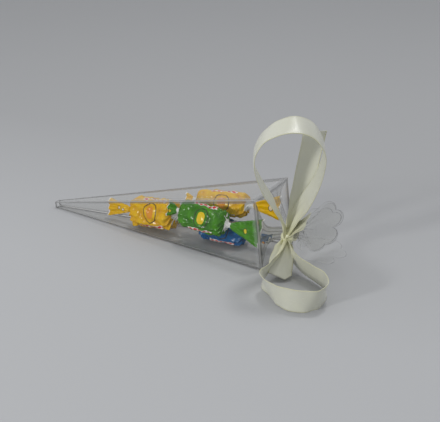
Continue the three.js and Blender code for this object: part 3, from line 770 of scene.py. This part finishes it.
# A wrapped sweet along X: rings from tail to tail, each |cos| and |sin| to a power that makes it squarer
# than a circle. Sharp pleats run into each neck, which is twisted, and the tails are flat and zigzag. Small
# folds are sums of ridged waves over the film. Marks on it say where it is neck, cut end and crumpled.
def sweetSurface(length, width, height, tails, seed, roll):
    half = wrapperShape["bodyHalf"] * length
    twist = wrapperShape["twist"]
    stops = []  # x, half width, half height, squareness, pleat depth
    for end, (tailLength, tailWidth) in zip((-1, 1), tails):
        fan = [(end * (half + wrapperShape["tailRoot"] + tailLength * share),
                twist + (tailWidth / 2 - twist) * share,
                wrapperShape["filmHeight"] + 0.5 * (1 - share) if share < 0.99 else 0.02, 0.9,
                wrapperShape["pleatDepth"] * share)
               for share in (1, 0.96, 0.7, 0.45, 0.2)]
        neckEnds = [(end * (half + 1.2), twist, twist, 1, 0),
                    (end * (half - 0.7), width * 0.25, height * 0.25, 1, 0)]
        shoulder = [(end * half * place, width * share, height * share, square, 0)
                    for place, share, square in ((0.9, 0.42, 0.9), (0.74, 0.5, 0.75), (0.3, 0.505, 0.74))]
        stops += (fan + neckEnds + shoulder)[::-end]
    stops = np.array(stops)
    last = len(stops) - 1
    # the grid's rows stand closer together at the two cut ends
    rows = np.interp(np.linspace(0, 1, wrapperShape["rows"]), [0, 0.02, 0.98, 1], [0, 0.6, last - 0.6, last])
    profile = curveThrough(stops, rows, even=True)
    x, wide, high, square, pleat = (profile[:, k:k + 1] for k in range(5))
    high = np.maximum(high, 0.02)
    angle = np.linspace(0, 2 * math.pi, wrapperShape["around"] + 1)[None]
    c, s = np.cos(angle), np.sin(angle)
    fromNeck = np.abs(np.abs(x) - half - 0.8)
    neck = np.exp(-(fromNeck / wrapperShape["neckSpan"]) ** 2)
    drawn = np.exp(-fromNeck / wrapperShape["drawnSpan"])
    rng = np.random.default_rng(seed)
    turn = angle + wrapperShape["neckTurn"] * smoothstep((np.abs(x) - half + 3) / 6) * np.sign(x)
    ridges = turn * wrapperShape["drawnRidges"] + rng.uniform(0, 3) + 0.7 * np.sin(turn * 2 + seed)
    pleats = np.abs(np.sin(ridges)) * wrapperShape["drawnDepth"] * drawn
    folds = 0
    for k in range(wrapperShape["folds"]):
        reach, spin, start = rng.uniform(0.12, 0.5), rng.integers(-4, 5), rng.uniform(0, 6)
        wander = 0.8 * np.sin(angle * 2 + x * 0.2 + k)
        folds = folds + rng.uniform(0.4, 1) * np.abs(np.sin(x * reach + angle * spin + start + wander))
    folds = folds / wrapperShape["folds"]
    fine = np.abs(np.sin(x * 1.1 + angle * 3 + 1.5 * np.sin(angle * 2 + x * 0.35 + seed)))
    onTail = smoothstep((np.abs(x) - half - 2) / 3)
    # crumple is where the film is dented between folds; the finish paints shade there
    crumple = np.clip(1.9 - folds * 3.2, 0, 1) * (1 - 0.4 * onTail)
    grown = 1 + wrapperShape["puff"] - pleats - wrapperShape["fineDepth"] * fine ** 3
    grown = grown - (wrapperShape["foldDepth"] + 0.05 * neck) * crumple * (1 - onTail)
    y = np.sign(c) * np.abs(c) ** square * wide * grown
    z = np.sign(s) * np.abs(s) ** square * high * grown
    crossing = wrapperShape["pleats"] * math.pi * y / np.maximum(wide, 0.1) + rng.uniform(0, 3)
    zigzag = np.arcsin(np.sin(crossing)) / (math.pi / 2)
    z = z + pleat * wrapperShape["zigzag"] * zigzag
    z = z + onTail * wrapperShape["flutter"] * np.sin(x * 0.8 + y * 0.9)
    nearEnd = smoothstep(onTail * np.abs(x) - np.abs(x[[0, -1]]).min() + 1.2)
    pinked = wrapperShape["pinking"] * np.abs(np.sin(angle * 18)) * nearEnd
    points = np.stack([x + 0 * angle - np.sign(x) * pinked, y, z], axis=-1)
    fromEnd = np.where(x < 0, x - x[0], x[-1] - x)
    marks = {"neck": neck, "end": fromEnd < wrapperShape["whiteEnd"], "crumple": crumple}
    uv = np.stack([(angle + roll) / 2 / math.pi + 0 * x, x / half + 0 * angle], axis=-1)
    return points, uv, marks


# Keeps the film inside the four panels: of what would pass a panel's inner face, nearly all is taken off,
# so it lies flat against the panel
def pressed(points):
    own = (points - mouthCentre) @ toRest
    room = halfSide(own[..., :1]) - cone["sheet"] - cone["filmClearance"]
    own[..., 1:] -= np.sign(own[..., 1:]) * np.maximum(np.abs(own[..., 1:]) - room, 0) * cone["filmPress"]
    return resting(own)


for name, sweet in sweets.items():
    shape = {key: sweet[key] for key in ("length", "width", "height", "tails", "seed", "roll")}
    points, uv, marks = sweetSurface(**shape)
    lie = Vector((1, 0, 0)).rotation_difference(Vector(sweet["along"]).normalized())
    turned = np.array(lie.to_matrix() @ Matrix.Rotation(sweet["roll"], 3, "X"))
    piece = gridPiece(name + "_wrapper", pressed(points @ turned.T + sweet["at"]),
                      wrapperFinishes[sweet["slot"]], uv=uv, marks=marks, around=True)
    place(piece, name, sweet["slot"])
print("sweets made")

# The floor, which isn't part of the object, and the light
studio = {
    # near and far are the two ends of the floor's painted shade
    "floorSize": 24.0, "near": (0.455, 0.461, 0.469), "far": (0.391, 0.395, 0.401),
    "farFrom": -0.06, "farOver": 0.2,  # along Y, in metres
    "grain": 900.0, "roughness": 0.75, "specular": 0.15,
    "ambient": 0.95, "sky": (0.65, 0.66, 0.68, 1), "aim": (0.03, 0, 0.02),
    "key": {"at": (0.1, 0.2, 0.95), "size": 0.15, "watts": 2.0},
    "fill": {"at": (-0.27, -0.87, 0.27), "size": 0.09, "watts": 3.6},
}


# Matt grey with painted shade: it darkens in a straight line from near to far
def floorFinish():
    made = Finish("grey card")
    alongY = made.add("ShaderNodeSeparateXYZ", None, {0: made.objectCoords()}, output=1)
    back = (alongY - studio["farFrom"]) / studio["farOver"]
    colour = made.blend(back.most(0.0).least(1.0), studio["near"], studio["far"])
    grain = made.noise(studio["grain"], 2.0)
    return made.show(made.gloss(
        colour, studio["roughness"] + grain * 0.1, Specular_IOR_Level=studio["specular"]))


span = np.linspace(-studio["floorSize"] / 2, studio["floorSize"] / 2, 3) / mm
floorPoints = np.stack([*np.meshgrid(span, span), np.full((3, 3), cadLow[2] / mm)], axis=-1)
floor = gridPiece("floor", floorPoints, floorFinish())

for name in ("key", "fill"):
    lamp = bpy.data.lights.new(name, "AREA")
    lamp.size, lamp.energy = studio[name]["size"], studio[name]["watts"]
    lampObject = bpy.data.objects.new(name, lamp)
    lampObject.location = studio[name]["at"]
    lampObject.rotation_mode = "QUATERNION"
    lampObject.rotation_quaternion = (Vector(studio["aim"]) - lampObject.location).to_track_quat("-Z", "Y")
    bpy.context.collection.objects.link(lampObject)

world = bpy.data.worlds.new("studio")
world.use_nodes = True
background = world.node_tree.nodes["Background"].inputs
background["Color"].default_value, background["Strength"].default_value = studio["sky"], studio["ambient"]
bpy.context.scene.world = world
print("floor and light made")
